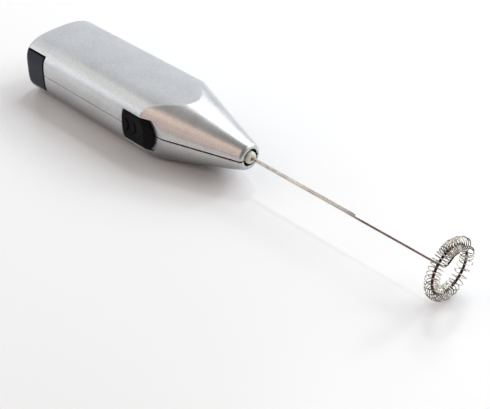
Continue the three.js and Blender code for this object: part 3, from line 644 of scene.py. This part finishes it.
class Nodes:
    """A short way to wire up a material's nodes."""

    def __init__(self, name):
        self.material = bpy.data.materials.new(name)
        self.material.use_nodes = True
        self.tree = self.material.node_tree
        self.shader = self.tree.nodes["Principled BSDF"]
        self.place = self.add("ShaderNodeTexCoord").outputs["Object"]

    def add(self, kind, **inputs):
        node = self.tree.nodes.new(kind)
        for key, value in inputs.items():
            self.feed(node.inputs[key.replace("_", " ")], value)
        return node

    def feed(self, socket, value):
        if isinstance(value, bpy.types.NodeSocket):
            self.tree.links.new(value, socket)
        else:
            socket.default_value = value

    def set(self, **inputs):
        for key, value in inputs.items():
            self.feed(self.shader.inputs[key.replace("_", " ")], value)

    def noise(self, scale, detail=2.0, rough=0.5, stretch=None):
        place = self.place
        if stretch:
            mapping = self.add("ShaderNodeMapping", Vector=place, Scale=stretch)
            place = mapping.outputs[0]
        node = self.add("ShaderNodeTexNoise", Vector=place, Scale=scale, Detail=detail, Roughness=rough)
        return node.outputs["Fac"]

    def span(self, value, low, high, start=0.0, end=1.0):
        """value from start..end mapped to low..high."""
        node = self.add("ShaderNodeMapRange", Value=value)
        for key, number in (("From Min", start), ("From Max", end), ("To Min", low), ("To Max", high)):
            node.inputs[key].default_value = number
        return node.outputs[0]

    def mix(self, share, first, second):
        node = self.tree.nodes.new("ShaderNodeMix")
        node.data_type = "RGBA"
        self.feed(node.inputs[0], share)
        self.feed(node.inputs[6], first)
        self.feed(node.inputs[7], second)
        return node.outputs[2]

    def math(self, operation, first, second=0.0):
        node = self.tree.nodes.new("ShaderNodeMath")
        node.operation = operation
        self.feed(node.inputs[0], first)
        self.feed(node.inputs[1], second)
        return node.outputs[0]

    def bump(self, *layers):
        """Bumps laid on one another, from (height, depth in millimetres) pairs."""
        normal = None
        for height, depth in layers:
            node = self.add("ShaderNodeBump", Height=height, Distance=depth * MM, Strength=1.0)
            if normal:
                self.tree.links.new(normal, node.inputs["Normal"])
            normal = node.outputs[0]
        self.set(Normal=normal)

    def edges(self):
        """1 on worn outer edges, 0 on flat faces."""
        sharp = self.add("ShaderNodeNewGeometry").outputs["Pointiness"]
        return self.span(sharp, 0.0, 1.0, 0.52, 0.62)

    def height(self):
        return self.add("ShaderNodeSeparateXYZ", Vector=self.place).outputs[2]

    def near(self, spot, reach):
        """1 close to a spot in the frame, falling to 0 at its reach."""
        away = self.tree.nodes.new("ShaderNodeVectorMath")
        away.operation = "DISTANCE"
        self.feed(away.inputs[0], self.place)
        away.inputs[1].default_value = spot
        return self.span(away.outputs["Value"], 1.0, 0.0, 0.6 * reach, reach)


def silver_paint():
    """Satin metallic paint: fine flakes, brighter edges, and painted shade that darkens it low down."""
    nodes = Nodes("silver_paint")
    flakes = nodes.add("ShaderNodeTexVoronoi", Vector=nodes.place, Scale=2800.0)
    flake = nodes.add("ShaderNodeSeparateColor", Color=flakes.outputs["Color"]).outputs[0]
    cloud = nodes.noise(90.0, 3.0)
    grain = nodes.noise(2600.0, 2.0, 0.6)
    base = nodes.mix(nodes.span(cloud, 0, 1, 0.3, 0.7), (0.49, 0.495, 0.505, 1), (0.56, 0.565, 0.57, 1))
    base = nodes.mix(nodes.span(flake, 0.0, 0.45), base, (0.80, 0.805, 0.81, 1))
    base = nodes.mix(nodes.math("MULTIPLY", nodes.edges(), 0.4), base, (0.80, 0.80, 0.80, 1))
    # painted shade: the base colour darkens towards the bottom, in place of the shadowed floor that the
    # lower sides reflect
    painted_under_shade = nodes.span(nodes.height(), 0.74, 0.0, NOSE.z - 8.0 * MM, NOSE.z - 0.8 * MM)
    base = nodes.mix(painted_under_shade, base, (0.20, 0.20, 0.21, 1))
    rough = nodes.math("ADD", nodes.span(cloud, 0.30, 0.36, 0.3, 0.7), nodes.span(grain, -0.03, 0.05))
    nodes.set(Base_Color=base, Metallic=0.82, Roughness=rough)
    nodes.shader.inputs["Coat Weight"].default_value = 0.12
    nodes.shader.inputs["Coat Roughness"].default_value = 0.3
    nodes.bump((grain, 0.014), (flake, 0.006), (nodes.noise(240.0, 2.0), 0.006))
    return nodes.material


def black_plastic(name, tint, gloss):
    """Moulded black plastic with a fine spark texture and paler, rubbed edges."""
    nodes = Nodes(name)
    grain = nodes.noise(2200.0, 3.0, 0.6)
    cloud = nodes.noise(160.0, 3.0)
    dark = tuple(0.75 * c for c in tint) + (1,)
    light = tuple(1.35 * c for c in tint) + (1,)
    base = nodes.mix(nodes.span(cloud, 0, 1, 0.3, 0.7), dark, light)
    base = nodes.mix(nodes.math("MULTIPLY", nodes.edges(), 0.35), base, (0.03, 0.03, 0.034, 1))
    rough = nodes.math("ADD", nodes.span(cloud, 0.42, 0.52, 0.3, 0.7), nodes.span(grain, -0.06, 0.06))
    nodes.set(Base_Color=base, Roughness=rough)
    nodes.shader.inputs["Specular IOR Level"].default_value = gloss
    nodes.bump((grain, 0.022), (nodes.noise(500.0, 2.0), 0.01))
    return nodes.material


def smooth_plastic(name, tint):
    """Plain moulded plastic, slightly translucent and a little uneven in gloss."""
    nodes = Nodes(name)
    cloud = nodes.noise(220.0, 3.0)
    grain = nodes.noise(1800.0, 2.0)
    dark = tuple(0.9 * c for c in tint) + (1,)
    base = nodes.mix(nodes.span(cloud, 0, 1, 0.3, 0.7), dark, tuple(tint) + (1,))
    nodes.set(Base_Color=base, Roughness=nodes.span(cloud, 0.28, 0.4, 0.3, 0.7))
    nodes.shader.inputs["Subsurface Weight"].default_value = 0.05
    nodes.shader.inputs["Subsurface Scale"].default_value = 0.001
    nodes.bump((grain, 0.008))
    return nodes.material


def metal(name, tint, rough_low, rough_high, stretch=None):
    """Bare metal with drawing or rolling marks, drawn out along an axis by stretch."""
    nodes = Nodes(name)
    marks = nodes.noise(900.0, 4.0, 0.6, stretch)
    cloud = nodes.noise(130.0, 3.0)
    dark = tuple(0.82 * c for c in tint) + (1,)
    base = nodes.mix(nodes.span(marks, 0, 1, 0.3, 0.7), dark, tuple(tint) + (1,))
    rough = nodes.span(nodes.math("ADD", marks, cloud), rough_low, rough_high, 0.6, 1.4)
    nodes.set(Base_Color=base, Metallic=1.0, Roughness=rough)
    nodes.bump((marks, 0.004))
    return nodes.material


def tarnished_wire():
    """Drawn steel that is bright by the handle and browned by coffee towards the ring."""
    nodes = Nodes("drawn_wire")
    marks = nodes.noise(1500.0, 4.0, 0.6, (0.05, 1, 1))
    cloud = nodes.noise(260.0, 3.0)
    along = nodes.add("ShaderNodeSeparateXYZ", Vector=nodes.place).outputs[0]
    start = NOSE.x + SHORT_LEG_END * MM
    uneven = nodes.span(cloud, -0.2, 0.16)
    browned = nodes.math("ADD", nodes.span(along, 0.1, 0.9, start - 0.004, start + 0.004), uneven)
    soaked = nodes.math("ADD", nodes.span(along, 0.1, 0.95, NOSE.x + 0.09, NOSE.x + 0.098), uneven)
    bright = nodes.mix(marks, (0.84, 0.77, 0.70, 1), (1.0, 0.96, 0.90, 1))
    base = nodes.mix(browned, bright, (0.19, 0.125, 0.11, 1))
    base = nodes.mix(soaked, base, (0.055, 0.020, 0.012, 1))
    nodes.set(Base_Color=base, Metallic=1.0, Roughness=nodes.span(marks, 0.14, 0.28))
    nodes.bump((marks, 0.004))
    return nodes.material


def spring_wire():
    """Bright spring wire, darker in patches and at a few spots."""
    nodes = Nodes("spring_wire")
    marks = nodes.noise(1300.0, 4.0, 0.6)
    cloud = nodes.noise(420.0, 3.0, 0.6)
    base = nodes.mix(marks, (0.66, 0.62, 0.53, 1), (0.90, 0.86, 0.77, 1))
    dark_patches = nodes.span(cloud, 0.0, 0.7, 0.44, 0.58)
    for degrees, radius, reach in DARK_SPOTS:
        spot = NOSE + Vector(ring_point(math.radians(degrees), radius)) * MM
        dark_patches = nodes.math("MAXIMUM", dark_patches, nodes.near(spot, reach * MM))
    base = nodes.mix(dark_patches, base, (0.040, 0.030, 0.022, 1))
    nodes.set(Base_Color=base, Metallic=1.0, Roughness=nodes.span(marks, 0.14, 0.26))
    nodes.bump((marks, 0.004))
    return nodes.material


def cell_sleeve():
    """Plain shrink sleeve of a cell: blue body, with faint shrink ripples."""
    nodes = Nodes("cell_sleeve")
    ripple = nodes.noise(160.0, 3.0, 0.5, (0.3, 1, 1))
    base = nodes.mix(nodes.span(ripple, 0, 1, 0.3, 0.7), (0.02, 0.10, 0.24, 1), (0.03, 0.14, 0.31, 1))
    nodes.set(Base_Color=base, Roughness=nodes.span(ripple, 0.2, 0.34, 0.3, 0.7))
    nodes.bump((ripple, 0.03))
    return nodes.material


def ferrite():
    """Dark, matt, grainy sintered magnet."""
    nodes = Nodes("ferrite")
    grain = nodes.noise(1500.0, 4.0, 0.7)
    base = nodes.mix(grain, (0.02, 0.02, 0.022, 1), (0.07, 0.07, 0.075, 1))
    nodes.set(Base_Color=base, Metallic=0.2, Roughness=nodes.span(grain, 0.55, 0.8))
    nodes.bump((grain, 0.03))
    return nodes.material


def table_top():
    """Plain pale floor with a faint sheen."""
    nodes = Nodes("table_top")
    cloud = nodes.noise(3.0, 3.0)
    base = nodes.mix(cloud, (0.92, 0.92, 0.93, 1), (0.94, 0.94, 0.945, 1))
    nodes.set(Base_Color=base, Roughness=nodes.span(cloud, 0.3, 0.36))
    return nodes.material


SILVER = silver_paint()
BLACK = black_plastic("black_plastic", (0.0035, 0.0035, 0.004), 0.07)
SLATE = black_plastic("slate_plastic", (0.013, 0.019, 0.033), 0.22)
# painted shadow: a near-black material for the tail cap's edges
SHADE = black_plastic("shaded_edge", (0.002, 0.002, 0.003), 0.05)
RAW_PLASTIC = black_plastic("raw_plastic", (0.012, 0.012, 0.013), 0.2)
CREAM = smooth_plastic("cream_plastic", (0.80, 0.77, 0.66))
WHITE = smooth_plastic("white_plastic", (0.80, 0.80, 0.78))
RED = smooth_plastic("red_lead", (0.42, 0.02, 0.02))
BLACK_LEAD = smooth_plastic("black_lead", (0.02, 0.02, 0.02))
WIRE = tarnished_wire()
SPRING = spring_wire()
NICKEL = metal("nickel_plate", (0.66, 0.65, 0.61), 0.22, 0.38)
BRASS = metal("brass_strip", (0.70, 0.50, 0.20), 0.25, 0.42, (0.1, 1, 1))
COPPER = metal("copper", (0.72, 0.33, 0.17), 0.25, 0.45, (1, 8, 8))
ZINC = metal("zinc_steel", (0.55, 0.55, 0.56), 0.3, 0.45)
CELL = cell_sleeve()
FERRITE = ferrite()


# ---------------------------------------------------------------- visible pieces

def build_shells():
    """Both halves, on grid lines that are fine at rounded edges, the cone and the seam."""
    fine = 0.36
    finer = 0.28
    side = 18.4
    nose = 4.6
    x_lines = graded(TAIL - 1.6, 1.2, 1.6, [
        (TAIL + 1.5, 3, fine), (CAP_FRONT, 0.8, fine), (RECESS_REAR, 1, fine),
        (SCALLOP, 9, fine), (-NOSE_WALL, 0.8, fine), (-0.4, 1.4, 0.24),
    ])
    y_lines = graded(-HALF_WIDTH - 1, HALF_WIDTH + 1, 0.9, [
        (-side, 1.6, fine), (side, 1.6, fine), (RECESS_FLOOR, 0.8, fine),
        (-nose, 1.4, finer), (nose, 1.4, finer),
    ])
    z_marks = [
        (0, 0.5, SEAM_HALF), (RECESS_TOP, 0.6, fine), (-RECESS_BOTTOM, 0.6, fine),
        (CAP_HALF_HEIGHT, 0.8, fine), (TOP - 1, 1.2, fine), (nose, 1.2, finer),
    ]
    z_upper = graded(-0.5, TOP + 1, 0.8, z_marks)
    z_lower = -graded(-0.5, -BOTTOM + 1, 0.8, z_marks)[::-1]
    halves = (("upper_shell", upper_shell, z_upper), ("lower_shell", lower_shell, z_lower))
    for node, field, z_lines in halves:
        half = grown(f"{node}_skin", field, (x_lines, y_lines, z_lines))
        finish_piece(half, SILVER, "handle", "shell_paint", node)
        line_with(half, RAW_PLASTIC, bare_inside)


def build_tail_cap():
    """The black plug, with a darker material on its edges that paints their shadow."""
    fine = 0.34
    side = 17.6
    x_marks = [(TAIL + 1.5, 3, fine), (CAP_FRONT, 1, 0.25)]
    x_lines = graded(TAIL - 1.6, cap_high.x + 1, 0.9, x_marks)
    y_marks = [(-side, 2.4, fine), (side, 2.4, fine)]
    y_lines = graded(-HALF_WIDTH - 1, HALF_WIDTH + 1, 0.9, y_marks)
    z_marks = [(place, 1.2, fine) for place in (-CAP_HALF_HEIGHT, -4.5, 4.5, CAP_HALF_HEIGHT)]
    z_lines = graded(-CAP_HALF_HEIGHT - 1, CAP_HALF_HEIGHT + 1, 0.8, z_marks)
    cap = grown("tail_cap_moulding", tail_cap, (x_lines, y_lines, z_lines))
    finish_piece(cap, SLATE, "tail", "black_plastic", "tail_cap")
    # painted shadow on the cap's front, top and bottom edges
    line_with(cap, SHADE, cap_shadow_rim)


def build_slider():
    step = 0.24
    x_lines = np.arange(slider_low.x - 1, SLIDER_FRONT + 1, step)
    y_lines = np.arange(-HALF_WIDTH - 1, slider_high.y + 1, step)
    z_lines = np.arange(slider_low.z - 1, slider_high.z + 1, step)
    thumb = grown("slider_thumb", slider, (x_lines, y_lines, z_lines))
    finish_piece(thumb, BLACK, "switch", "black_plastic", "switch_slider")


COUPLING_BORE = 1.1                 # radius
COUPLING_BORE_DEPTH = 8.0
COUPLING_REAR_ROUND = 0.3
COUPLING_FRONT_ROUND = 1.3


def build_coupling():
    """Cream sleeve with a rounded nose, and a small bore that the two legs leave by."""
    radius = coupling_high.z
    front = coupling_high.x
    rear = coupling_low.x
    rear_floor = rear + COUPLING_BORE_DEPTH
    front_floor = front - COUPLING_BORE_DEPTH
    rear_round = COUPLING_REAR_ROUND
    front_round = COUPLING_FRONT_ROUND
    profile = [(rear_floor, 0), (rear_floor, COUPLING_BORE), (rear, COUPLING_BORE)]
    profile += arc(rear + rear_round, radius - rear_round, rear_round, 180, 90)
    profile += arc(front - front_round - 0.2, radius - front_round, front_round, 90, 30)
    profile += [(front - 0.02, COUPLING_BORE + 0.15), (front - 0.2, COUPLING_BORE)]
    profile += [(front_floor, COUPLING_BORE), (front_floor, 0)]
    sleeve = turned("coupling_sleeve", profile)
    finish_piece(sleeve, CREAM, "whisk", "cream_plastic", "shaft_coupling")


def build_whisk():
    route = whisk_route()
    crust = np.interp(route[:, 0], (SPOKE_X, RING_X), (0, RING_CRUST))
    wire = sweep("whisk_wire_drawn", route, WIRE_RADIUS + crust, 16)
    finish_piece(wire, WIRE, "whisk", "whisk_steel", "whisk_wire")
    coil = sweep("whisk_coil_wound", coil_route(), COIL_WIRE, 10)
    finish_piece(coil, SPRING, "whisk", "coil_steel", "whisk_coil")


# turned outlines of a cell: along X from its end, and inwards from its side or out from its axis
CELL_BASE = ((0, 2.2), (0.3, 1.5), (0, 0.9), (0.15, 0.3), (0.6, 0))
CELL_SHOULDER = ((0.6, 0), (0.1, 0.4), (0, 1.0))
CELL_SHOULDER_DROP = 1.2            # from the nub's top to the shoulder
CELL_NUB = ((0.25, 2.7), (0, 2.4), (0, 0))


def build_cells():
    """Two AA cells, end to end opposite: sleeve with rolled ends, bare ends and a nub."""
    for index in (1, 2):
        low, high = local_box(f"battery_{index}")
        radius = (high.y - low.y) / 2
        forward = 1 if index == 1 else -1
        base, nub = (low.x, high.x) if forward > 0 else (high.x, low.x)
        shoulder = nub - forward * CELL_SHOULDER_DROP
        profile = [(base, 0)]
        profile += [(base + forward * along, radius - inset) for along, inset in CELL_BASE]
        profile += [(shoulder - forward * along, radius - inset) for along, inset in CELL_SHOULDER]
        profile += [(shoulder - forward * 0.4, 3.4), (shoulder, 2.75)]
        profile += [(nub - forward * along, reach) for along, reach in CELL_NUB]
        if forward < 0:
            profile.reverse()
        cell = turned(f"cell_{index}_sleeve", profile, 72, (low.y + high.y) / 2)
        finish_piece(cell, CELL, "handle", "cell_wrap", f"battery_{index}")


def dress_cad_nodes():
    """The hidden pieces keep their CAD meshes and get the right finish."""
    looks = {
        NICKEL: [
            "tail_contact", "tail_spring", "front_spring",
            "motor_can", "motor_shaft", "armature_core",
        ],
        BRASS: [
            "front_contact_positive", "front_contact_negative", "switch_terminal",
            "motor_bush", "brush_left", "brush_right",
        ],
        COPPER: ["switch_bridge", "commutator"] + [f"armature_winding_{i}" for i in (1, 2, 3)],
        WHITE: ["contact_bulkhead", "motor_end_cap"],
        ZINC: [f"housing_screw_{i}" for i in (1, 2, 3)],
        FERRITE: ["magnet_left", "magnet_right"],
        RED: ["lead_red"],
        BLACK_LEAD: ["lead_black"],
    }
    for material, names in looks.items():
        for name in names:
            node = frame["nodes"][name]
            node.data.materials.clear()
            node.data.materials.append(material)


# ---------------------------------------------------------------- stage

def build_floor():
    size = 3.0
    rows = 24
    side = rows + 1
    steps = np.linspace(-size, size, side)
    points = [(x, y, -0.0001) for x in steps for y in steps]
    faces = [
        (i * side + j, (i + 1) * side + j, (i + 1) * side + j + 1, i * side + j + 1)
        for i in range(rows) for j in range(rows)
    ]
    mesh = bpy.data.meshes.new("floor")
    mesh.from_pydata(points, [], faces)
    floor = bpy.data.objects.new("floor", mesh)
    floor.data.materials.append(table_top())
    bpy.context.scene.collection.objects.link(floor)


def toward(azimuth, elevation):
    """Unit vector from the frother towards a place in the sky. Azimuth 0 is the -Y side."""
    a, e = math.radians(azimuth), math.radians(elevation)
    return Vector((math.sin(a) * math.cos(e), -math.cos(a) * math.cos(e), math.sin(e)))


LIGHT_DISTANCE = 1.3
HANDLE_FRONT = NOSE + Vector((-0.03, 0, 0))    # what the soft boxes face
SOFT_BOXES = [
    # name, azimuth and elevation, degrees wide and tall, radiance in watts / (m2 sr)
    ("key", 212, 58, 6, 6, (27.0, 27.0, 27.0)),
    ("second_key", 168, 32, 10, 10, (15.0, 15.0, 15.0)),
    ("window", 160, 40, 76, 40, (2.75, 2.85, 2.9)),
    ("window_sill", 160, 10, 90, 20, (0.8, 0.8, 0.85)),
    ("pale_wall", 240, 22, 60, 40, (0.74, 0.77, 0.82)),
    ("near_wall", 300, 20, 40, 40, (1.4, 1.45, 1.5)),
    ("high_wall", 278, 52, 30, 24, (1.2, 1.2, 1.1)),
    ("warm_card", 0, 24, 20, 40, (1.25, 0.90, 0.75)),
    ("high_card", 340, 50, 20, 20, (1.9, 1.4, 1.1)),
]


def soft_box(name, azimuth, elevation, wide, tall, radiance):
    """A flat soft box that faces the handle, as wide and tall from there as the angles say."""
    data = bpy.data.lights.new(name, "AREA")
    data.shape = "RECTANGLE"
    data.size = 2 * LIGHT_DISTANCE * math.tan(math.radians(wide / 2))
    data.size_y = 2 * LIGHT_DISTANCE * math.tan(math.radians(tall / 2))
    strongest = max(radiance)
    data.energy = strongest * math.pi * data.size * data.size_y
    data.color = [channel / strongest for channel in radiance]
    lamp = bpy.data.objects.new(name, data)
    direction = toward(azimuth, elevation)
    lamp.location = HANDLE_FRONT + direction * LIGHT_DISTANCE
    lamp.rotation_euler = direction.to_track_quat("Z", "Y").to_euler()
    bpy.context.scene.collection.objects.link(lamp)


def build_lights():
    """Soft boxes over a weak white background."""
    world = bpy.data.worlds.new("studio")
    world.use_nodes = True
    background = world.node_tree.nodes["Background"]
    background.inputs["Color"].default_value = (1, 1, 1, 1)
    background.inputs["Strength"].default_value = 0.15
    bpy.context.scene.world = world
    bpy.context.scene.view_settings.view_transform = "Standard"
    for row in SOFT_BOXES:
        soft_box(*row)


CAMERA_AZIMUTH = 45.5
CAMERA_ELEVATION = 35.87
CAMERA_DISTANCE = 0.450
CAMERA_AIM = NOSE + Vector((12.2, -15.2, -9.1)) * MM


def build_camera():
    """Long lens, looking down at the whisk's end of the slider side."""
    data = bpy.data.cameras.new("camera")
    data.lens = 84.5
    data.sensor_width = 36.0
    data.clip_start = 0.01
    camera = bpy.data.objects.new("camera", data)
    direction = toward(CAMERA_AZIMUTH, CAMERA_ELEVATION)
    camera.location = CAMERA_AIM + direction * CAMERA_DISTANCE
    camera.rotation_euler = direction.to_track_quat("Z", "Y").to_euler()
    bpy.context.scene.collection.objects.link(camera)
    bpy.context.scene.camera = camera


build_camera()
build_shells()
build_tail_cap()
build_slider()
build_coupling()
build_whisk()
build_cells()
dress_cad_nodes()
build_floor()
build_lights()
